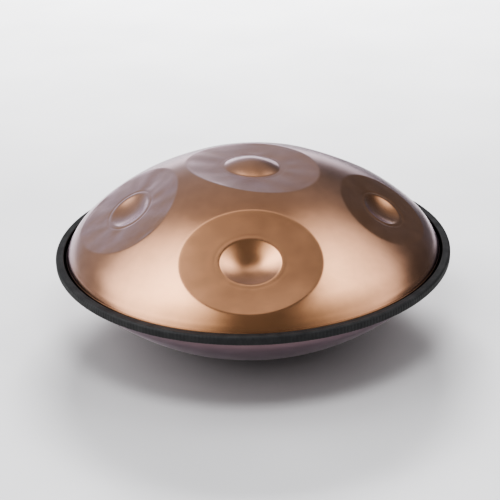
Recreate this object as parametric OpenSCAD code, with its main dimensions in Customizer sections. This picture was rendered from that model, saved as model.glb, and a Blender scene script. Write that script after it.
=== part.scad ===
// Handpan: two pressed steel half shells bonded rim to rim, with a rubber trim round the edge.
// Millimetres, +Z up. The origin is the centre of the port's mouth, on the plane the lower shell rests on.
// Azimuths are measured from -Y (the player's side), positive towards +X.

/* [Half shells] */
// Sheet thickness of both half shells
sheet_t = 1.2; // [0.9:0.1:1.6]
// Radius of the spherical crown of both half shells
crown_r = 347; // [342:1:352]
// Radius of the knuckle that the crown runs into
knuckle_r = 86; // [80:1:92]
// Slope at which the knuckle ends
wall_angle = 69; // [67:1:71]
// Radius of the concave flare between the knuckle and the flange
flare_r = 5; // [4:0.5:6]
// Radius at which the flat flange begins
flare_x = 264.2; // [264:0.1:264.8]
// Outer radius of the flange
flange_r = 271; // [269:0.5:272]

/* [Ding] */
// Depth that the crown is flattened for the central tone field
ding_depth = 11.6; // [11:0.1:12]
// Height of the convex dome at the centre of the ding
ding_rise = 11; // [8:0.5:13]
// Half length of the ding's dome
ding_half_len = 39; // [34:0.5:44]
// Half width of the ding's dome
ding_half_wid = 33; // [28:0.5:33.5]
// Azimuth of the dome's long axis
ding_turn = 43; // [30:1:60]

/* [Front tone field] */
// Azimuth of the front tone field
front_azimuth = -1; // [-4:0.5:4]
// Slope of its flat face
front_slope = 34.6; // [34.2:0.2:35]
// Depth that the dome is flattened there
front_depth = 10.8; // [10:0.1:11.2]
// Half width of its dimple
front_dimple = 39.5; // [33:0.5:42]

/* [Left tone field] */
// Azimuth of the left tone field
left_azimuth = -80; // [-82:0.5:-78]
// Slope of its flat face
left_slope = 30.9; // [30.7:0.1:31.5]
// Depth that the dome is flattened there
left_depth = 10; // [9:0.1:10.2]
// Half width of its dimple
left_dimple = 38; // [33:0.5:42]

/* [Right tone field] */
// Azimuth of the right tone field
right_azimuth = 76; // [74:0.5:78]
// Slope of its flat face
right_slope = 33.4; // [33:0.2:34]
// Depth that the dome is flattened there
right_depth = 7.5; // [7:0.1:8.2]
// Half width of its dimple
right_dimple = 32; // [27:0.5:34]

/* [Back tone fields] */
// Azimuth of the back left tone field
back_left_azimuth = -152; // [-155:0.5:-149]
// Azimuth of the back right tone field
back_right_azimuth = 142; // [139:0.5:145]
// Slope of the flat faces of both
back_slope = 33; // [32.5:0.1:33.5]
// Depth that the dome is flattened at both
back_depth = 6.6; // [6:0.2:7.2]
// Half width of the dimples of both
back_dimple = 28; // [25:0.5:31]

/* [Dimples] */
// Length of a dimple up the slope, as a share of its width
dimple_ratio = 0.83; // [0.75:0.01:0.9]
// Depth of a dimple, as a share of its half width
dimple_depth = 0.24; // [0.18:0.01:0.28]

/* [Port] */
// Inside radius of the port's neck
port_r = 50; // [45:1:54]
// Radius of the roll between the neck and the land
roll_r = 6; // [4:0.5:7]
// Height of the neck's straight wall
neck_h = 16; // [10:1:24]
// Outer radius of the flat land round the port
land_r = 66; // [64:1:72]

/* [Rim] */
// Thickness of the adhesive between the flanges
bond_t = 0.4; // [0.2:0.1:0.8]
// Radial width of the adhesive ring
bond_w = 6; // [4:0.5:6.5]
// Overall radius of the instrument, over the trim
overall_r = 275; // [274.5:0.5:276]
// Radial width of the trim
trim_w = 11; // [10.6:0.1:11]
// Height of the trim
trim_h = 12.4; // [11.6:0.2:13]
// Corner radius of the trim's section
trim_corner = 4.4; // [4:0.2:4.8]
// Width of the gap where the two ends of the trim meet
trim_gap = 0.4; // [0.2:0.1:1]
// Azimuth of the trim's butt joint
trim_gap_azimuth = 106; // [0:1:180]
// Sheet thickness of the carrier inside the trim
carrier_t = 0.5; // [0.4:0.1:0.6]
// Number of slits in each side of the carrier
carrier_slits = 60; // [30:10:120]
// Width of one slit
slit_w = 2; // [1:0.5:4]

/* [Hidden] */
$fn = 180;

// Section of one half shell, in its own frame: y = 0 is the flange's outer face, y up to the crown.
knuckle_x = flare_x - (flare_r + knuckle_r) * sin(wall_angle);
knuckle_y = flare_r - (flare_r + knuckle_r) * cos(wall_angle);
knuckle_angle = asin(knuckle_x / (crown_r - knuckle_r));
crown_y = knuckle_y - (crown_r - knuckle_r) * cos(knuckle_angle);
crown_top = crown_y + crown_r;

// Heights in the whole instrument.
land_h = crown_y + sqrt(crown_r * crown_r - land_r * land_r);
flange_offset = sheet_t + bond_t / 2;
rim_z = land_h + flange_offset;

// The trim and its carrier.
trim_inner_r = overall_r - trim_w;
flange_stack = 2 * sheet_t + bond_t;
rubber_lining = 1.4;
carrier_inner = flange_stack / 2 + rubber_lining;
carrier_r = flange_r + rubber_lining / 2;
carrier_leg = 5.5;
slit_notch = 1;
throat = 1.2;

ding_face_y = crown_top - ding_depth;

// Cutting bodies reach far beyond the part, or clear of what they cut. A cut that starts on an axis starts
// eps before it. The knuckle's sector laps under the crown's by section_lap degrees.
far = 1000;
clear = 1;
eps = 0.01;
section_lap = 10;

// Each tone field: azimuth, slope, flattening depth, dimple half width.
FIELDS = [
    [front_azimuth, front_slope, front_depth, front_dimple],
    [left_azimuth, left_slope, left_depth, left_dimple],
    [right_azimuth, right_slope, right_depth, right_dimple],
    [back_left_azimuth, back_slope, back_depth, back_dimple],
    [back_right_azimuth, back_slope, back_depth, back_dimple]
];

// Radius of the sphere that meets a flat face in a circle of half width a at depth d.
function cap_r(a, d) = (a * a + d * d) / (2 * d);

// Sector of a disc round the point c, between the angles a0 and a1 from the vertical.
module sector(c, r, a0, a1) {
    intersection() {
        translate(c) circle(r = r);
        polygon([c, c + far * [sin(a0), cos(a0)], c + far * [sin(a1), cos(a1)]]);
    }
}

// Solid section under the half shell's surface, moved inwards by inset.
// With no inset it carries the flange as well. Its parts overlap, so that they join into one.
module dome_section(inset) {
    crown_c = [0, crown_y];
    knuckle_c = [knuckle_x, knuckle_y];
    knuckle_end = knuckle_c + (knuckle_r - inset) * [sin(wall_angle), cos(wall_angle)];
    lap_angle = knuckle_angle - section_lap;
    lap = knuckle_c + knuckle_r / 2 * [sin(lap_angle), cos(lap_angle)];
    flare_c = [flare_x, flare_r];
    intersection() {
        translate([0, -sheet_t]) square([flange_r, crown_top + far]);
        union() {
            sector(crown_c, crown_r - inset, 0, knuckle_angle);
            sector(knuckle_c, knuckle_r - inset, lap_angle, wall_angle);
            difference() {
                polygon([crown_c, lap, knuckle_end, flare_c, [flare_x, crown_y]]);
                translate(flare_c) circle(r = flare_r + inset);
            }
            if (inset == 0)
                translate([flare_x - sheet_t, -sheet_t]) square([flange_r - flare_x + sheet_t, sheet_t]);
        }
    }
}

// Lens-shaped solid whose surface meets the plane z = 0 in an oval a by b and lies d beyond it.
// It grows outwards on every side by grow.
module lens(a, b, d, grow) {
    wide_r = cap_r(a, d);
    narrow_r = cap_r(b, d);
    translate([0, 0, d - wide_r]) rotate([90, 0, 0]) rotate_extrude()
        intersection() {
            translate([wide_r - narrow_r, 0]) circle(r = narrow_r + grow);
            translate([0, -far / 2]) square([far, far]);
        }
}

// Puts its children on a tone field: z = 0 is the flat face, +Z out of the shell, +Y up the slope.
module on_field(field) {
    rotate([0, 0, field[0]]) translate([0, 0, crown_y]) rotate([field[1], 0, 0])
        translate([0, 0, crown_r - field[2]]) children();
}

// Puts its children on the ding: z = 0 is its face, +X along the face's long axis.
module on_ding() {
    translate([0, 0, ding_face_y]) rotate([0, 0, ding_turn - 90]) children();
}

// Everything above a tone field's flat face, which is moved inwards by inset.
module above_face(inset) {
    translate([-far / 2, -far / 2, -inset]) cube([far, far, far]);
}

// The upper half's solid form, moved inwards by inset: dome, faces, dimples and the ding's dome.
module pressed_form(inset) {
    difference() {
        rotate_extrude() dome_section(inset);
        on_ding() above_face(inset);
        for (field = FIELDS)
            on_field(field) above_face(inset);
        for (field = FIELDS)
            on_field(field) mirror([0, 0, 1])
                lens(field[3], field[3] * dimple_ratio, field[3] * dimple_depth, inset);
    }
    intersection() {
        on_ding() lens(ding_half_len, ding_half_wid, ding_rise, -inset);
        translate([0, 0, ding_face_y - 2 * sheet_t])
            cylinder(r = ding_half_len + clear, h = 2 * sheet_t + ding_rise + clear);
    }
}

module upper_shell() {
    color("#a5774f") translate([0, 0, rim_z + flange_offset]) difference() {
        pressed_form(0);
        pressed_form(sheet_t);
    }
}

// Section of the lower half with its port, seen with the crown upwards, moved inwards by inset.
module port_section(inset) {
    corner = [port_r + roll_r, land_h - roll_r];
    difference() {
        dome_section(inset);
        translate([-eps, land_h - inset]) square([far, far]);
        translate([-eps, -far / 2]) square([port_r + inset + eps, far]);
        translate([port_r, corner[1]]) square([roll_r, far]);
    }
    intersection() {
        translate(corner) circle(r = roll_r - inset);
        translate([port_r, corner[1]]) square([roll_r, roll_r]);
    }
}

module lower_shell() {
    neck_end = land_h - roll_r - neck_h;
    color("#5f4349") translate([0, 0, land_h]) mirror([0, 0, 1]) rotate_extrude() difference() {
        port_section(0);
        port_section(sheet_t);
        translate([0, -far]) square([port_r + sheet_t + eps, far + neck_end]);
    }
}

module rim_bond() {
    color("#2b2623") translate([0, 0, rim_z - bond_t / 2]) rotate_extrude()
        translate([flange_r - bond_w, 0]) square([bond_w, bond_t]);
}

// Channel-shaped strip that holds the carrier: legs over both flanges, web round the edge.
module carrier_section(leg_r) {
    difference() {
        translate([leg_r, -carrier_inner - carrier_t])
            square([carrier_r + carrier_t - leg_r, 2 * (carrier_inner + carrier_t)]);
        translate([leg_r - eps, -carrier_inner]) square([carrier_r - leg_r + eps, 2 * carrier_inner]);
    }
}

// Rounded section of the rubber, with a slot for the flanges that widens at the mouth.
module trim_section() {
    difference() {
        union() {
            translate([trim_inner_r, trim_corner - trim_h / 2]) square([trim_w, trim_h - 2 * trim_corner]);
            translate([trim_inner_r + trim_corner, -trim_h / 2]) square([trim_w - 2 * trim_corner, trim_h]);
            for (x = [trim_inner_r + trim_corner, overall_r - trim_corner])
                for (y = [-1, 1])
                    translate([x, y * (trim_h / 2 - trim_corner)]) circle(r = trim_corner);
        }
        translate([trim_inner_r - eps, -flange_stack / 2])
            square([flange_r - trim_inner_r + eps, flange_stack]);
        polygon([[trim_inner_r - eps, -flange_stack / 2 - throat],
                 [trim_inner_r - eps, flange_stack / 2 + throat],
                 [trim_inner_r + throat, flange_stack / 2],
                 [trim_inner_r + throat, -flange_stack / 2]]);
        carrier_section(carrier_r - carrier_leg);
    }
}

// Turns a section into an open ring whose ends meet at the butt joint.
module open_ring() {
    gap_angle = trim_gap / overall_r * 180 / PI;
    translate([0, 0, rim_z]) rotate([0, 0, trim_gap_azimuth - 90 + gap_angle / 2])
        rotate_extrude(angle = 360 - gap_angle) children();
}

module rim_trim() {
    color("#2e2e30") open_ring() trim_section();
}

// The slits cut both legs and the bends, and stop a little way down the web.
module trim_carrier() {
    slit_pitch = 360 / carrier_slits;
    slit_start = carrier_r - carrier_leg - clear;
    slit_end = carrier_r + carrier_t + clear;
    color("#9a9ca0") difference() {
        open_ring() carrier_section(carrier_r - carrier_leg);
        for (i = [0:carrier_slits - 1], side = [0, 1])
            translate([0, 0, rim_z]) rotate([0, 0, trim_gap_azimuth - 90 + (i + 0.5) * slit_pitch])
                mirror([0, 0, side]) translate([slit_start, -slit_w / 2, carrier_inner - slit_notch])
                    cube([slit_end - slit_start, slit_w, slit_notch + carrier_t + clear]);
    }
}

upper_shell();
lower_shell();
rim_bond();
rim_trim();
trim_carrier();
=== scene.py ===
"""Handpan: fine meshes, materials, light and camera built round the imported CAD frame."""
import math
from collections import namedtuple

import bpy
import numpy as np
from mathutils import Matrix, Vector
from mathutils.geometry import tessellate_polygon


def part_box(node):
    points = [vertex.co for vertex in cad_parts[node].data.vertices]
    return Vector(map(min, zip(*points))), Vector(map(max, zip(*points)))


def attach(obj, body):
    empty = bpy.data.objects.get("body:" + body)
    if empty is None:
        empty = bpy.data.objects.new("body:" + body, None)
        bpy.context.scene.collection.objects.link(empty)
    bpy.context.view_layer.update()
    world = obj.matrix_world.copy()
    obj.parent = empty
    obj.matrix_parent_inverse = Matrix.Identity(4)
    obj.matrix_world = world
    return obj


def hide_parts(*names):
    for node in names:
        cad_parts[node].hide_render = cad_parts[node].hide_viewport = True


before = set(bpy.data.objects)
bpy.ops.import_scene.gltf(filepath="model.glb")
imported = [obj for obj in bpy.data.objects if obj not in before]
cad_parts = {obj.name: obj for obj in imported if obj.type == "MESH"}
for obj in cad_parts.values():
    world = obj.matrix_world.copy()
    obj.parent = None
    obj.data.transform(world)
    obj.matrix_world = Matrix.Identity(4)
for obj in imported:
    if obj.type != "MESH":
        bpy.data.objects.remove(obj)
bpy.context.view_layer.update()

MM = 0.001
FULL_TURN = 2 * math.pi

# ---------------------------------------------------------------- sizes, in millimetres
SHEET = 1.2
CROWN_R = 347.0
KNUCKLE_R = 86.0
WALL_ANGLE = math.radians(69.0)
FLARE_R = 5.0
FLARE_X = 264.2

RIM_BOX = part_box("rim_trim")
RIM_Z = (RIM_BOX[0].z + RIM_BOX[1].z) / 2 / MM
TRIM_H = (RIM_BOX[1].z - RIM_BOX[0].z) / MM
OVERALL_R = RIM_BOX[1].x / MM
FLANGE_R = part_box("upper_shell")[1].x / MM
UPPER_FACE_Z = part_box("upper_shell")[0].z / MM + SHEET
LOWER_FACE_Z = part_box("lower_shell")[1].z / MM - SHEET
FLANGE_STACK = UPPER_FACE_Z - LOWER_FACE_Z

# A tone field lies along the line from the crown to the rim. Azimuth is in degrees from -Y towards +X.
# r_in and r_out are the radii of its two ends, and depth is its dimple's. marks is the height of its hammer
# marks, ring the depth of the ring beaten round the dimple, and film how far its oxide colour is shifted.
Field = namedtuple("Field", "azimuth r_in r_out half_width dimple_half depth marks ring film")
FIELDS = [
    Field(-1.06, 121.3, 249.5, 92.2, 39.5, 9.5, 0.03, 0.04, 0.0),
    Field(-80.0, 102.2, 237.9, 100.5, 38.0, 7.4, 0.42, 0.40, 0.08),
    Field(75.9, 126.9, 238.0, 76.9, 32.0, 6.2, 0.08, 0.36, -0.10),
    Field(-152.0, 126.5, 234.0, 71.0, 28.0, 6.0, 0.15, 0.25, 0.05),
    Field(142.0, 126.5, 234.0, 71.0, 28.0, 6.0, 0.15, 0.25, 0.05),
]

DING_HALF = (102.7, 81.0)        # half axes of the ding's face
DING_CENTRE = (1.8, 3.8)         # its centre, slightly off the axis
DING_TURN = math.radians(-47.0)  # turn of its long axis from +X
DING_DOME = (41.0, 34.8)         # half axes of its dome
DING_RISE = 11.0
DING_MARKS = (0.22, 0.10, 0.04)  # marks, ring and film, as for the fields

CREASE = 0.25                # softness of a field's edge
LIP = 0.45                   # softness of a dimple's edge
RIDGE_R = 257.0              # radius of the faint line left by the forming die above the rim
RIDGE_H = 0.25
RIDGE_W = 1.5

UPPER_WAVES = (5, 110.0, 0.10)   # slow waviness of the upper sheet: seed, length and height
LOWER_WAVES = (11, 120.0, 0.12)  # the same for the lower sheet
WAVES_END = (215.0, 245.0)       # radii between which it dies out towards the rim

PORT_R = 50.0
ROLL_R = 6.0
NECK_H = 16.0


# ---------------------------------------------------------------- profile of a half shell
def half_profile(count):
    """Radius and height of the outer surface from the crown to the flange's edge, evenly spaced."""
    knuckle_x = FLARE_X - (FLARE_R + KNUCKLE_R) * math.sin(WALL_ANGLE)
    knuckle_z = FLARE_R - (FLARE_R + KNUCKLE_R) * math.cos(WALL_ANGLE)
    knuckle_angle = math.asin(knuckle_x / (CROWN_R - KNUCKLE_R))
    crown_z = knuckle_z - (CROWN_R - KNUCKLE_R) * math.cos(knuckle_angle)
    t = np.linspace(0, knuckle_angle, 900)
    parts = [np.stack([CROWN_R * np.sin(t), crown_z + CROWN_R * np.cos(t)], 1)]
    t = np.linspace(knuckle_angle, WALL_ANGLE, 240)
    parts.append(np.stack([knuckle_x + KNUCKLE_R * np.sin(t), knuckle_z + KNUCKLE_R * np.cos(t)], 1))
    t = np.linspace(WALL_ANGLE, 0, 120)
    parts.append(np.stack([FLARE_X - FLARE_R * np.sin(t), FLARE_R - FLARE_R * np.cos(t)], 1))
    parts.append(np.array([[FLANGE_R, 0.0]]))
    line = np.concatenate(parts)
    step = np.hypot(*np.diff(line, axis=0).T)
    line = line[np.r_[True, step > 1e-6]]
    length = np.r_[0, np.cumsum(np.hypot(*np.diff(line, axis=0).T))]
    s = np.linspace(0, length[-1], count)
    return s, np.interp(s, length, line[:, 0]), np.interp(s, length, line[:, 1])


PROFILE_S, PROFILE_R, PROFILE_Z = half_profile(4000)


def height_at(r):
    return np.interp(r, PROFILE_R, PROFILE_Z)


def inset_profile(inset):
    """The profile moved inwards along its own normal."""
    dr = np.gradient(PROFILE_R)
    dz = np.gradient(PROFILE_Z)
    size = np.hypot(dr, dz)
    return PROFILE_R + inset * dz / size, PROFILE_Z - inset * dr / size


# ---------------------------------------------------------------- smooth functions
def smooth_positive(x, softness):
    """x where it is well above 0, and 0 where well below, with a round corner between."""
    return 0.5 * (x + np.sqrt(x * x + softness * softness))


def fade(x, low, high):
    """0 below low, 1 above high, and a soft step between."""
    t = np.clip((x - low) / (high - low), 0, 1)
    return t * t * (3 - 2 * t)


def ripple(points, seed, length):
    """Smooth pseudo-random field between about -1 and 1, from seeded waves of about the given length."""
    rng = np.random.default_rng(seed)
    total = np.zeros(len(points))
    for _ in range(14):
        direction = rng.normal(size=3)
        direction /= np.linalg.norm(direction)
        wave = direction * (FULL_TURN / length) * rng.uniform(0.6, 1.5)
        total += np.sin(points @ wave + rng.uniform(0, FULL_TURN))
    return total / 5.0


def waviness(points, seed, length, height):
    """Slow unevenness of the pressed sheet, which dies out before the rim."""
    r = np.hypot(points[:, 0], points[:, 1])
    return ripple(points, seed, length) * height * (1 - fade(r, *WAVES_END))


# ---------------------------------------------------------------- tone fields
class Face:
    """A hammered face on the dome: local axes u (along the rim), v (up the slope) and n (outwards).

    rho is 1 on the face's outline, and dimple_rho is 1 on the outline of its dimple or dome.
    """

    REACH = 1.35             # rho within which a point can move
    FAR_SIDE = -45.0         # height below the face's plane at which the dome's other side begins
    OUTSIDE = (1.12, 1.3)    # rho over which the pressing dies out
    BOWL_EDGE = (1.1, 1.4)   # dimple_rho over which the dimple dies out
    RING_AT = 1.17           # dimple_rho of the ring beaten round the dimple
    RING_W = 0.05
    MARK_SEED = 3
    MARK_LENGTH = 34.0
    MARK_PLACE = (60.0, 26.0)    # spread of the marks round the face and outwards: they run outwards
    MARK_START = (1.05, 1.5)     # dimple_rho over which the marks begin
    MARK_END = (0.9, 1.0)        # rho over which they end

    def __init__(self, centre, u, v, half, dimple, depth, marks, ring, film):
        self.centre = centre
        self.u = u
        self.v = v
        self.n = np.cross(u, v)
        self.half = half
        self.dimple = dimple
        self.depth = depth
        self.marks = marks
        self.ring = ring
        self.film = film
        self.turns = np.linspace(-math.pi, math.pi, 721)
        self.edge = self.edge_heights()
        self.level = float(self.edge[:-1].mean())

    def edge_heights(self):
        """Height of the dome above the chord plane all round the outline, found by halving."""
        base = (self.centre
                + np.outer(self.half[0] * np.cos(self.turns), self.u)
                + np.outer(self.half[1] * np.sin(self.turns), self.v))
        low = np.full(len(base), -60.0)
        high = np.full(len(base), 90.0)
        for _ in range(40):
            mid = (low + high) / 2
            p = base + mid[:, None] * self.n
            inside = p[:, 2] < height_at(np.hypot(p[:, 0], p[:, 1]))
            low = np.where(inside, mid, low)
            high = np.where(inside, high, mid)
        return (low + high) / 2

    def local(self, points):
        """Height of the points above the chord plane, rho, dimple_rho and the turn round the centre."""
        d = points - self.centre
        u = d @ self.u
        v = d @ self.v
        rho = np.hypot(u / self.half[0], v / self.half[1])
        dimple_rho = np.hypot(u / self.dimple[0], v / self.dimple[1])
        turn = np.arctan2(v / self.half[1], u / self.half[0])
        return d @ self.n, rho, dimple_rho, turn

    def hammer_marks(self, rho, dimple_rho, turn):
        around, outwards = self.MARK_PLACE
        place = np.stack([around * np.cos(turn), around * np.sin(turn), outwards * rho], 1)
        zone = fade(dimple_rho, *self.MARK_START) * (1 - fade(rho, *self.MARK_END))
        return self.marks * ripple(place, self.MARK_SEED, self.MARK_LENGTH) * zone

    def press(self, points):
        """Moves the dome's points to the face, and returns which points are near it and their rho."""
        height, rho, _, _ = self.local(points)
        near = (rho < self.REACH) & (height > self.FAR_SIDE)
        height, rho, dimple_rho, turn = self.local(points[near])
        edge = np.interp(turn, self.turns, self.edge)
        face = self.level + (edge - self.level) * rho ** 3
        drop = smooth_positive(height - face, CREASE) * (1 - fade(rho, *self.OUTSIDE))
        bowl = smooth_positive(abs(self.depth) * (1 - dimple_rho ** 2), LIP)
        drop += bowl * (1 - fade(dimple_rho, *self.BOWL_EDGE)) * np.sign(self.depth)
        ring = self.ring * np.exp(-((dimple_rho - self.RING_AT) / self.RING_W) ** 2)
        drop += np.where(rho < 1, ring + self.hammer_marks(rho, dimple_rho, turn), 0)
        points[near] -= np.outer(drop, self.n)
        return near, rho


def field_face(field):
    """The face of a tone field, laid on the chord between its two ends."""
    a = math.radians(field.azimuth)
    out = np.array([math.sin(a), -math.cos(a), 0.0])
    upper = out * field.r_in + np.array([0, 0, height_at(field.r_in)])
    lower = out * field.r_out + np.array([0, 0, height_at(field.r_out)])
    v = upper - lower
    half_length = np.linalg.norm(v) / 2
    v = v / (2 * half_length)
    u = np.array([math.cos(a), math.sin(a), 0.0])
    dimple = (field.dimple_half, field.dimple_half * half_length / field.half_width)
    return Face((upper + lower) / 2, u, v, (field.half_width, half_length), dimple,
                field.depth, field.marks, field.ring, field.film)


def ding_face():
    """The ding: a level face round a dome that stands up."""
    u = np.array([math.cos(DING_TURN), math.sin(DING_TURN), 0.0])
    v = np.array([-math.sin(DING_TURN), math.cos(DING_TURN), 0.0])
    mean_half = math.sqrt(DING_HALF[0] * DING_HALF[1])
    centre = np.array([*DING_CENTRE, height_at(mean_half)])
    return Face(centre, u, v, DING_HALF, DING_DOME, -DING_RISE, *DING_MARKS)


# ---------------------------------------------------------------- mesh helpers
def disc_grid(count):
    """Square grid folded onto the unit disc, so its cells stay even from centre to edge."""
    line = np.linspace(-1, 1, count)
    a, b = np.meshgrid(line, line, indexing="ij")
    a = a.ravel()
    b = b.ravel()
    wide = np.abs(a) > np.abs(b)
    safe_a = np.where(a == 0, 1, a)
    safe_b = np.where(b == 0, 1, b)
    radius = np.where(wide, a, b)
    turn = np.where(wide, math.pi / 4 * b / safe_a, math.pi / 2 - math.pi / 4 * a / safe_b)
    turn = np.where((a == 0) & (b == 0), 0, turn)
    x = radius * np.cos(turn)
    y = radius * np.sin(turn)
    index = np.arange(count * count).reshape(count, count)
    quads = np.stack([index[:-1, :-1], index[1:, :-1], index[1:, 1:], index[:-1, 1:]], -1).reshape(-1, 4)
    rim = np.concatenate([index[:-1, 0], index[-1, :-1], index[:0:-1, -1], index[0, :0:-1]])
    return np.hypot(x, y), np.arctan2(y, x), quads, rim


def ring_quads(rows, columns):
    """Quads of a grid of rows by columns whose columns close on themselves."""
    index = np.arange(rows * columns).reshape(rows, columns)
    right = np.roll(index, -1, axis=1)
    return np.stack([index[:-1], right[:-1], right[1:], index[1:]], -1).reshape(-1, 4)


def make_piece(name, points, polygons, attributes=None):
    """A smooth-shaded object from points in millimetres and a list of polygon arrays."""
    mesh = bpy.data.meshes.new(name)
    polygons = [np.asarray(p) for p in polygons]
    loops = np.concatenate([p.ravel() for p in polygons]).astype(np.int32)
    sizes = np.concatenate([np.full(len(p), p.shape[1]) for p in polygons]).astype(np.int32)
    mesh.vertices.add(len(points))
    mesh.vertices.foreach_set("co", (points * MM).astype(np.float32).ravel())
    mesh.loops.add(len(loops))
    mesh.loops.foreach_set("vertex_index", loops)
    mesh.polygons.add(len(sizes))
    mesh.polygons.foreach_set("loop_start", np.r_[0, np.cumsum(sizes)[:-1]].astype(np.int32))
    mesh.polygons.foreach_set("loop_total", sizes)
    mesh.polygons.foreach_set("use_smooth", np.ones(len(sizes), bool))
    mesh.update(calc_edges=True)
    mesh.validate()
    for key, values in (attributes or {}).items():
        layer = mesh.attributes.new(key, "FLOAT", "POINT")
        layer.data.foreach_set("value", values.astype(np.float32))
    piece = bpy.data.objects.new(name, mesh)
    bpy.context.scene.collection.objects.link(piece)
    return piece


# ---------------------------------------------------------------- upper shell
def dome_points(share, turn):
    """Points of the dome at a share of the way from the crown to the flange's edge."""
    s = share * PROFILE_S[-1]
    r = np.interp(s, PROFILE_S, PROFILE_R)
    z = np.interp(s, PROFILE_S, PROFILE_Z)
    return np.stack([r * np.cos(turn), r * np.sin(turn), z], 1)


def pressed(points):
    """The points with the ding and the fields worked in, and each point's share and film of a field."""
    share = np.zeros(len(points))
    film = np.zeros(len(points))
    for face in [ding_face()] + [field_face(f) for f in FIELDS]:
        near, rho = face.press(points)
        within = 1 - fade(rho, 0.97, 1.03)
        share[near] = np.maximum(share[near], within)
        film[near] += within * face.film
    return points, share, film


def facing_up(points, quads):
    """The quads, turned over if needed so that on the whole they face up."""
    a, b, c = points[quads[:, 0]], points[quads[:, 1]], points[quads[:, 2]]
    return quads if np.cross(b - a, c - b)[:, 2].sum() > 0 else quads[:, ::-1]


def inset_points(points):
    """A pressed disc grid moved inwards by the sheet's thickness, along the surface's own normals."""
    count = int(math.sqrt(len(points)))
    grid = points.reshape(count, count, 3)
    normal = np.cross(np.gradient(grid, axis=0), np.gradient(grid, axis=1)).reshape(-1, 3)
    size = np.linalg.norm(normal, axis=1, keepdims=True)
    normal = normal / np.where(size == 0, 1, size)
    normal[normal[:, 2] < 0] *= -1
    moved = points - SHEET * normal
    flange = np.hypot(points[:, 0], points[:, 1]) > FLANGE_R - 3
    moved[flange] = points[flange] - np.array([0, 0, SHEET])
    return moved


def build_upper_shell():
    outer_count, ratio = 561, 4
    share, turn, quads, rim = disc_grid(outer_count)
    outer, inside, film = pressed(dome_points(share, turn))
    outer[:, 2] += waviness(outer, *UPPER_WAVES)
    r = np.hypot(outer[:, 0], outer[:, 1])
    ridge = RIDGE_H * np.exp(-((r - RIDGE_R) / RIDGE_W) ** 2)
    outer[:, :2] *= (1 + ridge / np.maximum(r, 1))[:, None]
    share_in, turn_in, quads_in, rim_in = disc_grid((outer_count - 1) // ratio + 1)
    inner, _, _ = pressed(dome_points(share_in, turn_in))
    inner = inset_points(inner)
    first = len(outer)
    edge = []
    for i in range(len(rim_in)):
        top = [rim[(i * ratio + k) % len(rim)] for k in range(ratio + 1)]
        edge.append(top[::-1] + [rim_in[i] + first, rim_in[(i + 1) % len(rim_in)] + first])
    polygons = [facing_up(outer, quads), facing_up(inner, quads_in)[:, ::-1] + first, np.array(edge)]
    points = np.concatenate([outer, inner])
    points[:, 2] += UPPER_FACE_Z
    zeros = np.zeros(len(inner))
    return make_piece("upper_shell_fine", points, polygons,
                      {"field": np.r_[inside, zeros], "film": np.r_[film, zeros]})


# ---------------------------------------------------------------- lower shell
def lower_profile(inset, count):
    """Radius and depth below the flange, from the neck's end over the roll and the dome to the edge."""
    radii, heights = inset_profile(inset)
    land = LOWER_FACE_Z
    t = np.linspace(math.pi, math.pi / 2, 40)
    roll = ROLL_R - inset
    neck_end = [PORT_R + inset, land - ROLL_R - NECK_H]
    rolled = np.stack([PORT_R + ROLL_R + roll * np.cos(t), land - ROLL_R + roll * np.sin(t)], 1)
    below = heights < land - inset
    dome = np.stack([radii[below], heights[below]], 1)
    line = np.concatenate([[neck_end], rolled, [[dome[0, 0], land - inset]], dome])
    length = np.r_[0, np.cumsum(np.hypot(*np.diff(line, axis=0).T))]
    s = np.linspace(0, length[-1], count)
    return np.interp(s, length, line[:, 0]), np.interp(s, length, line[:, 1])


def build_lower_shell():
    outer_rows, inner_rows, columns = 330, 120, 720
    r_out, z_out = lower_profile(0.0, outer_rows)
    r_in, z_in = lower_profile(SHEET, inner_rows)
    r = np.r_[r_out, r_in[::-1]]
    z = LOWER_FACE_Z - np.r_[z_out, z_in[::-1]]
    turn = np.linspace(0, FULL_TURN, columns, endpoint=False)
    x = np.outer(r, np.cos(turn)).ravel()
    y = np.outer(r, np.sin(turn)).ravel()
    points = np.stack([x, y, np.repeat(z, columns)], 1)
    outer = points[:outer_rows * columns]
    near_port = fade(np.hypot(outer[:, 0], outer[:, 1]), 70, 100)
    outer[:, 2] += waviness(outer, *LOWER_WAVES) * near_port
    first = np.arange(columns)
    last = first + (len(r) - 1) * columns
    neck = np.stack([np.roll(first, -1), first, last, np.roll(last, -1)], 1)
    return make_piece("lower_shell_fine", points, [ring_quads(len(r), columns), neck])


# ---------------------------------------------------------------- rim trim
TRIM_W = 11.0
TRIM_CORNER = 3.6            # radius of the rubber's outer corners
THROAT = 1.2                 # chamfer at the mouth of the slot for the flanges
LIP_R = 1.6                  # radius of the rounded lip that rests on the shell
LIP_DROP = 0.3               # the lip's top below the trim's
SIDE_DIP = (0.35, 0.45, 0.35)    # the flank is hollow: its depth below the trim's top
SIDE_AT = (3.2, 5.0, 6.6)        # and how far out from the lip's inner edge each of those is
SLOT_EASE = 0.2
WEB_END = 0.5                # distance from a corner to the first point of the web
CORNER_SHARE = 0.25          # share of the ribs' depth near the flank
ROUND_SHARE = 0.9            # share of it round the corner
TRIM_GAP = 0.4               # gap of the butt joint
GAP_AZIMUTH = 106.0
RIB_COUNT = 360
RIB_DEPTH = 0.45
RIB_WAVE = [0.0, 0.0, 0.35, 1.0, 0.35]   # depth across one rib and its groove
RIB_AIM = 2.0                # the ribs are cut towards a point this far inside the flanges' edge
CARRIER_COVER = 1.4          # rubber between the flanges and the carrier's legs
CARRIER_BACK = 0.7           # rubber between the flanges' edge and its web
CARRIER_T = 0.5
CARRIER_LEG = 5.5


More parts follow.
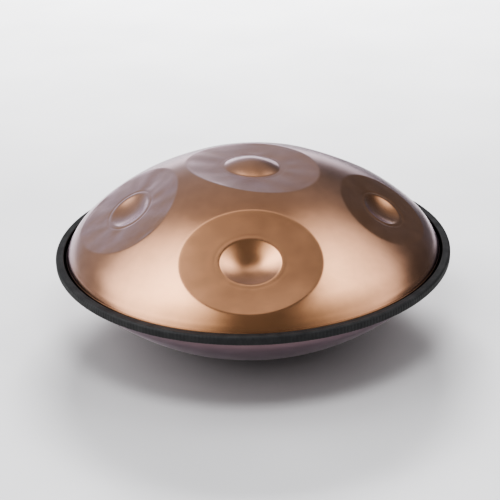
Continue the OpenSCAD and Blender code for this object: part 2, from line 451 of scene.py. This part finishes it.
def upper_outline():
    """The rubber's section from the slot to the corner: radius, height and share of the ribs."""
    inner = OVERALL_R - TRIM_W
    half = TRIM_H / 2
    slot = FLANGE_STACK / 2
    points = [(FLANGE_R, slot, 0.0), (inner + THROAT, slot, 0.0), (inner + SLOT_EASE, slot + THROAT, 0.0)]

    def arc(cx, cz, radius, start, stop, count, share):
        for t in np.radians(np.linspace(start, stop, count)):
            points.append((cx + radius * math.cos(t), cz + radius * math.sin(t), share))

    arc(inner + LIP_R, half - LIP_R - LIP_DROP, LIP_R, 180, 95, 7, 0.0)
    points.extend((inner + x, half - dip, 0.0) for x, dip in zip(SIDE_AT, SIDE_DIP))
    corner = (OVERALL_R - TRIM_CORNER, half - TRIM_CORNER, TRIM_CORNER)
    arc(*corner, 80, 50, 4, CORNER_SHARE)
    arc(*corner, 42, 0, 6, ROUND_SHARE)
    return points


def trim_outline():
    """Closed section of the rubber about the rim's middle, and the share of the ribs at each point."""
    upper = upper_outline()
    lower = [(x, -z, share) for x, z, share in reversed(upper)]
    top = TRIM_H / 2 - TRIM_CORNER - WEB_END
    web = [(OVERALL_R, z, 1.0) for z in np.linspace(top, -top, 6)]
    whole = np.array(lower[-1:] + upper + web + lower[:-1])
    return whole[:, :2], whole[:, 2]


def carrier_outline():
    """Closed section of the cavity that holds the steel carrier."""
    web = FLANGE_R + CARRIER_BACK
    leg = web - CARRIER_LEG
    a = FLANGE_STACK / 2 + CARRIER_COVER
    b = a + CARRIER_T
    return np.array([(leg, -b), (web + CARRIER_T, -b), (web + CARRIER_T, b), (leg, b),
                     (leg, a), (web, a), (web, -a), (leg, -a)])


def swept(outline, ribbed, turn, wave):
    """The outline swept round the axis, cut back by the ribs."""
    inward = np.array([FLANGE_R - RIB_AIM, 0.0]) - outline
    inward /= np.linalg.norm(inward, axis=1, keepdims=True)
    shift = RIB_DEPTH * ribbed[:, None] * wave[None, :]
    r = outline[:, :1] + inward[:, :1] * shift
    z = outline[:, 1:] + inward[:, 1:] * shift
    return np.stack([(r * np.cos(turn)).ravel(), (r * np.sin(turn)).ravel(), z.ravel() + RIM_Z], 1)


def tube_quads(count, columns):
    """Quads of a closed outline of count points swept over open columns."""
    index = np.arange(count * columns).reshape(count, columns)
    above = np.roll(index, -1, axis=0)
    return np.stack([index[:, :-1], index[:, 1:], above[:, 1:], above[:, :-1]], -1).reshape(-1, 4)


def build_rim_trim():
    columns = RIB_COUNT * len(RIB_WAVE) + 1
    gap = TRIM_GAP / OVERALL_R
    start = math.radians(GAP_AZIMUTH - 90) + gap / 2
    turn = np.linspace(start, start + FULL_TURN - gap, columns)
    wave = np.tile(RIB_WAVE, RIB_COUNT + 1)[:columns]
    section, ribbed = trim_outline()
    hollow = carrier_outline()
    outer = swept(section, ribbed, turn, wave)
    inner = swept(hollow, np.zeros(len(hollow)), turn, wave)
    polygons = [tube_quads(len(section), columns), tube_quads(len(hollow), columns)[:, ::-1] + len(outer)]
    loops = [[Vector((x, z, 0)) for x, z in loop] for loop in (section, hollow)]
    triangles = np.array(tessellate_polygon(loops))
    for column, facing in ((0, 1), (columns - 1, -1)):
        ids = np.r_[np.arange(len(section)) * columns, np.arange(len(hollow)) * columns + len(outer)]
        polygons.append((ids + column)[triangles][:, ::facing])
    ribs = np.r_[np.repeat(ribbed, columns), np.zeros(len(inner))]
    return make_piece("rim_trim_ribbed", np.concatenate([outer, inner]), polygons, {"rib": ribs})


# ---------------------------------------------------------------- node helpers
class Nodes:
    """Adds nodes to the tree of a material or a world, and joins them."""

    def __init__(self, owner):
        owner.use_nodes = True
        self.owner = owner
        self.tree = owner.node_tree
        self.surface = self.tree.nodes.get("Principled BSDF")

    def add(self, kind, **settings):
        node = self.tree.nodes.new(kind)
        for key, value in settings.items():
            setattr(node, key, value)
        return node

    def feed(self, socket, value):
        """Gives a socket a number or a colour, or joins another socket to it."""
        if isinstance(value, (int, float)):
            socket.default_value = value
        elif isinstance(value, tuple):
            socket.default_value = (*value, 1)
        else:
            self.tree.links.new(value, socket)

    def finish(self, **inputs):
        """Feeds the surface's inputs, whose names have _ for each space, and returns the material."""
        for name, value in inputs.items():
            self.feed(self.surface.inputs[name.replace("_", " ")], value)
        return self.owner

    def math(self, operation, a, b=None):
        node = self.add("ShaderNodeMath", operation=operation)
        self.feed(node.inputs[0], a)
        if b is not None:
            self.feed(node.inputs[1], b)
        return node.outputs[0]

    def product(self, *values):
        result = values[0]
        for value in values[1:]:
            result = self.math("MULTIPLY", result, value)
        return result

    def total(self, *values):
        result = values[0]
        for value in values[1:]:
            result = self.math("ADD", result, value)
        return result

    def centred(self, value):
        """A share from 0 to 1 as a number about 0."""
        return self.math("SUBTRACT", value, 0.5)

    def remap(self, value, low, high, to_low, to_high):
        """to_low at low, to_high at high, even between and level beyond."""
        node = self.add("ShaderNodeMapRange")
        settings = {"Value": value, "From Min": low, "From Max": high, "To Min": to_low, "To Max": to_high}
        for key, number in settings.items():
            self.feed(node.inputs[key], number)
        return node.outputs["Result"]

    def window(self, value, start, full):
        """0 on the start side, 1 on the full side, and a soft step between."""
        node = self.add("ShaderNodeMapRange", interpolation_type="SMOOTHSTEP")
        self.feed(node.inputs["Value"], value)
        self.feed(node.inputs["From Min"], start)
        self.feed(node.inputs["From Max"], full)
        return node.outputs["Result"]

    def ramp(self, value, stops):
        node = self.add("ShaderNodeValToRGB")
        while len(node.color_ramp.elements) < len(stops):
            node.color_ramp.elements.new(0.5)
        for element, (place, colour) in zip(node.color_ramp.elements, stops):
            element.position = place
            element.color = (*colour, 1)
        self.feed(node.inputs["Fac"], value)
        return node.outputs["Color"]

    def mix(self, factor, a, b, blend="MIX"):
        node = self.add("ShaderNodeMix", data_type="RGBA", blend_type=blend)
        self.feed(node.inputs[0], factor)
        self.feed(node.inputs[6], a)
        self.feed(node.inputs[7], b)
        return node.outputs[2]

    def combine(self, x, y, z):
        node = self.add("ShaderNodeCombineXYZ")
        for socket, value in zip(node.inputs, (x, y, z)):
            self.feed(socket, value)
        return node.outputs[0]

    def split(self, vector):
        node = self.add("ShaderNodeSeparateXYZ")
        self.feed(node.inputs[0], vector)
        return node.outputs

    def position(self):
        return self.add("ShaderNodeTexCoord").outputs["Object"]

    def radius(self):
        """Distance from the instrument's axis, in metres."""
        x, y, _ = self.split(self.position())
        return self.math("SQRT", self.total(self.product(x, x), self.product(y, y)))

    def attribute(self, name):
        return self.add("ShaderNodeAttribute", attribute_name=name).outputs["Fac"]

    def noise(self, scale, detail=4.0, roughness=0.55, vector=None):
        """Noise of scale features to the metre, or over a vector of its own."""
        node = self.add("ShaderNodeTexNoise")
        self.feed(node.inputs["Scale"], scale)
        self.feed(node.inputs["Detail"], detail)
        self.feed(node.inputs["Roughness"], roughness)
        self.feed(node.inputs["Vector"], vector or self.position())
        return node.outputs["Fac"]

    def bump(self, height, strength, distance):
        node = self.add("ShaderNodeBump")
        self.feed(node.inputs["Height"], height)
        self.feed(node.inputs["Strength"], strength)
        self.feed(node.inputs["Distance"], distance)
        return node.outputs["Normal"]


# ---------------------------------------------------------------- materials
UPPER_FILM = [
    (0.00, (0.62, 0.340, 0.195)),
    (0.29, (0.62, 0.351, 0.227)),
    (0.43, (0.625, 0.377, 0.272)),
    (0.57, (0.64, 0.405, 0.325)),
    (0.71, (0.68, 0.490, 0.515)),
    (0.86, (0.80, 0.610, 0.710)),
    (1.00, (1.00, 0.880, 0.950)),
]
LOWER_FILM = [
    (0.00, (0.36, 0.22, 0.20)),
    (0.40, (0.34, 0.22, 0.23)),
    (0.60, (0.36, 0.25, 0.29)),
    (0.80, (0.46, 0.36, 0.43)),
    (1.00, (0.90, 0.82, 0.88)),
]
FOOT = (259.2 * MM, 260.8 * MM)      # radii over which the wall's foot is painted near black beside the trim: painted shade of the rubber lip
# Painted shade: the near-black colour given to the wall's foot, standing in for the shade of the trim's lip
GAP_SHADE = (0.006, 0.005, 0.005)


def new_material(name):
    return Nodes(bpy.data.materials.new(name))


def circular_brush(n, across, along):
    """Fine streaks that run round the instrument's axis: across to the metre, along to the turn."""
    x, y, z = n.split(n.position())
    turn = n.math("DIVIDE", n.math("ARCTAN2", y, x), FULL_TURN)
    line = n.total(n.radius(), z)
    streaks = n.combine(n.product(line, across), n.product(turn, along), 0.0)
    return n.noise(1.0, detail=3.0, roughness=0.6, vector=streaks)


def shell_steel(name, film_colours, roughness):
    """Heat-coloured steel: an oxide film whose colour runs with the viewing angle, over fine brushing.

    The tone fields are hammered instead of brushed, and their film is shifted and patchy. Beside the trim the
    wall's foot is painted near black, a painted shade of the rubber lip, and made rougher.
    """
    n = new_material(name)
    field = n.attribute("field")
    film = n.attribute("film")
    brush = n.product(n.centred(circular_brush(n, 2600.0, 22.0)), n.math("SUBTRACT", 1.0, field))
    broad = n.centred(n.noise(9.0, detail=3.0))
    mottle = n.centred(n.noise(42.0, detail=4.0, roughness=0.6))
    worked = n.centred(n.noise(28.0, detail=2.0))

    facing = n.add("ShaderNodeLayerWeight")
    facing.inputs["Blend"].default_value = 0.5
    angle = n.total(facing.outputs["Facing"], n.product(broad, 0.08), film, n.product(worked, film, 3.0))
    tone = n.total(n.product(mottle, 0.25), 1.0)
    colour = n.mix(1.0, n.ramp(angle, film_colours), n.combine(tone, tone, tone), "MULTIPLY")
    # Painted shade: the foot mask blends the colour towards near black beside the trim, and also roughens it
    foot = n.window(n.radius(), *FOOT)
    rough = n.total(n.product(brush, 0.05), n.product(mottle, 0.04), n.product(field, 0.015), roughness,
                    n.product(foot, 0.4))
    relief = n.total(n.product(brush, 0.05), n.product(worked, field, 0.6))
    return n.finish(Base_Color=n.mix(foot, colour, GAP_SHADE), Metallic=1.0, Roughness=rough,
                    Normal=n.bump(relief, strength=0.35, distance=0.6 * MM))


def rubber(name):
    """Black rubber, faintly cloudy, with a fine matt grain."""
    n = new_material(name)
    fine = n.noise(900.0, detail=3.0, roughness=0.6)
    clouds = n.noise(60.0, detail=3.0)
    colour = n.ramp(clouds, [(0.3, (0.012, 0.012, 0.013)), (0.7, (0.024, 0.024, 0.025))])
    return n.finish(Base_Color=colour, Specular_IOR_Level=0.45,
                    Roughness=n.remap(fine, 0.3, 0.7, 0.48, 0.62),
                    Normal=n.bump(fine, strength=0.25, distance=0.2 * MM))


def adhesive(name):
    """Dark cured adhesive with an uneven skin."""
    n = new_material(name)
    clouds = n.noise(120.0)
    colour = n.ramp(clouds, [(0.3, (0.05, 0.045, 0.04)), (0.7, (0.10, 0.09, 0.08))])
    return n.finish(Base_Color=colour, Roughness=n.remap(clouds, 0.3, 0.7, 0.45, 0.65),
                    Normal=n.bump(clouds, strength=0.3, distance=0.3 * MM))


def strip_steel(name):
    """Bright rolled strip with the rolling's grain."""
    n = new_material(name)
    grain = circular_brush(n, 3000.0, 30.0)
    colour = n.ramp(grain, [(0.3, (0.42, 0.43, 0.45)), (0.7, (0.62, 0.63, 0.65))])
    return n.finish(Base_Color=colour, Metallic=1.0, Roughness=n.remap(grain, 0.3, 0.7, 0.3, 0.45),
                    Normal=n.bump(grain, strength=0.2, distance=0.2 * MM))


# ---------------------------------------------------------------- the pieces
def dress(piece, material, node):
    """Gives a new piece its material and ride, and lets it stand for a CAD node."""
    piece.data.materials.append(material)
    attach(piece, "root")
    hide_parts(node)


def repaint(node, material):
    """Gives a carried-over CAD node its material."""
    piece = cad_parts[node]
    piece.data.materials.clear()
    piece.data.materials.append(material)


dress(build_upper_shell(), shell_steel("bronzed_upper", UPPER_FILM, 0.23), "upper_shell")
dress(build_lower_shell(), shell_steel("bronzed_lower", LOWER_FILM, 0.32), "lower_shell")
dress(build_rim_trim(), rubber("trim_rubber"), "rim_trim")
repaint("rim_bond", adhesive("bond"))
repaint("trim_carrier", strip_steel("carrier_steel"))


# ---------------------------------------------------------------- floor, surroundings, light and camera
FLOOR_REACH = 12.0           # metres from the middle of the floor to its sides
FLOOR_PALE = [(0.3, (0.42, 0.42, 0.43)), (0.7, (0.46, 0.46, 0.47))]
CAMERA_GREY = 1.2            # brightness of the surroundings where the camera sees them


def build_floor():
    """Pale floor. In mirror reflections it is darker, most of all at the right and far away."""
    n = new_material("pale_floor")
    mirrored = n.add("ShaderNodeLightPath").outputs["Is Glossy Ray"]
    x, _, _ = n.split(n.position())
    near = n.window(n.radius(), 1.2, 0.6)
    far_tone = n.product(n.math("SUBTRACT", 1.0, near), n.remap(x, -1.0, 0.6, 0.28, 0.03))
    tone = n.total(n.product(near, 0.40), far_tone)
    pale = n.ramp(n.noise(3.0, detail=2.0), FLOOR_PALE)
    n.finish(Base_Color=n.mix(mirrored, pale, n.combine(tone, tone, tone)), Roughness=0.8)
    mesh = bpy.data.meshes.new("floor")
    corners = [(FLOOR_REACH * x, FLOOR_REACH * y, 0) for x, y in ((-1, -1), (1, -1), (1, 1), (-1, 1))]
    mesh.from_pydata(corners, [], [(0, 1, 2, 3)])
    mesh.materials.append(n.owner)
    floor = bpy.data.objects.new("floor", mesh)
    bpy.context.scene.collection.objects.link(floor)


def soft_box(name, place, target, size, power):
    """Rectangular soft light that faces the target, and doesn't show to the camera or in the steel."""
    lamp = bpy.data.lights.new(name, "AREA")
    lamp.shape = "RECTANGLE"
    lamp.size, lamp.size_y = size
    lamp.energy = power
    holder = bpy.data.objects.new(name, lamp)
    aim = (Vector(target) - Vector(place)).to_track_quat("-Z", "Y").to_matrix().to_4x4()
    holder.matrix_world = Matrix.Translation(place) @ aim
    holder.visible_camera = False
    holder.visible_glossy = False
    bpy.context.scene.collection.objects.link(holder)


def side_panel(n, side, elevation, rise, fall, corner, level, slope, top):
    """Tall soft panel at one side, brighter higher up. side is the azimuth measured towards it.

    It begins over rise and ends over fall. Its lower edge climbs towards the back, and a larger corner lowers
    it. Its upper edge climbs too, and fades out over slope. Near the zenith it fades out over top.
    """
    return n.product(
        n.remap(side, *rise, 0, 1),
        n.remap(side, *fall, 0, 1),
        n.window(n.total(elevation, n.product(side, -0.9), corner), -8, 14),
        n.window(n.total(elevation, n.product(side, -0.5)), *slope),
        n.window(elevation, *top),
        n.remap(elevation, *level),
    )


def build_world():
    """Studio surroundings by azimuth from -Y towards +X and by elevation, both in degrees."""
    n = Nodes(bpy.data.worlds.new("studio"))
    x, y, z = n.split(n.add("ShaderNodeTexCoord").outputs["Generated"])
    azimuth = n.math("DEGREES", n.math("ARCTAN2", x, n.product(y, -1.0)))
    elevation = n.math("DEGREES", n.math("ARCSINE", z))
    aside = n.math("ABSOLUTE", azimuth)

    left = side_panel(n, n.product(azimuth, -1.0), elevation, rise=(16, 62), fall=(142, 82), corner=78.0,
                      level=(15, 55, 1.9, 3.4), slope=(46, 28), top=(84, 66))
    right = side_panel(n, azimuth, elevation, rise=(24, 78), fall=(150, 92), corner=77.0,
                       level=(25, 58, 1.05, 2.45), slope=(40, 22), top=(80, 62))
    # The room is darker on the camera's side, and a little paler at the left.
    room = n.total(n.remap(aside, 60, 140, 0.20, 0.34), n.product(n.window(azimuth, -60, -110), 0.05))
    # It is darker low down at the right and back, and pale in a band near the horizon at the back.
    shade = n.product(n.window(azimuth, 85, 115), n.window(azimuth, 178, 160),
                      n.remap(elevation, 46, 20, 0, -0.21))
    horizon = n.product(n.window(aside, 150, 172), n.window(elevation, 14, 5), 0.9)
    # A soft patch overhead is brightest towards the back and the left.
    slant = n.total(n.product(x, -1.4), n.product(y, 2.0), 0.34)
    overhead = n.product(n.window(elevation, 70, 84), slant)
    level = n.total(room, left, right, shade, horizon, overhead)

    seen = n.add("ShaderNodeLightPath").outputs["Is Camera Ray"]
    background = n.tree.nodes["Background"]
    n.feed(background.inputs["Color"], (1.0, 1.0, 1.0))
    unseen = n.math("SUBTRACT", 1.0, seen)
    n.feed(background.inputs["Strength"], n.total(n.product(level, unseen), n.product(seen, CAMERA_GREY)))
    bpy.context.scene.world = n.owner


def build_light():
    """Two soft lamps brighten the floor behind and in front."""
    soft_box("back_pool", place=(0, 2.6, 2.2), target=(0, 2.0, 0), size=(1.6, 1.0), power=260)
    soft_box("front_pool", place=(0, -0.75, 1.3), target=(0, -0.62, 0), size=(0.5, 0.3), power=12)
    scene = bpy.context.scene
    scene.view_settings.view_transform = "AgX"
    scene.view_settings.look = "AgX - High Contrast"


def build_camera():
    """A long lens in front, about 25 degrees above the rim, with a slight roll and shift."""
    elevation = math.radians(25.33)
    roll = math.radians(-1.61)
    distance = 1.925
    rim = Vector((0, 0, RIM_Z * MM))
    back = Vector((0, -math.cos(elevation), math.sin(elevation)))
    up = Vector((0, math.sin(elevation), math.cos(elevation)))
    right = Vector((1, 0, 0))
    turned_right = right * math.cos(roll) + up * math.sin(roll)
    turned_up = up * math.cos(roll) - right * math.sin(roll)
    data = bpy.data.cameras.new("camera")
    data.lens = 98.58
    data.sensor_width = 36
    data.shift_x = -0.0056
    data.shift_y = -0.0082
    camera = bpy.data.objects.new("camera", data)
    basis = Matrix((turned_right, turned_up, back)).transposed()
    camera.matrix_world = Matrix.Translation(rim + back * distance) @ basis.to_4x4()
    bpy.context.scene.collection.objects.link(camera)
    bpy.context.scene.camera = camera


build_floor()
build_world()
build_light()
build_camera()
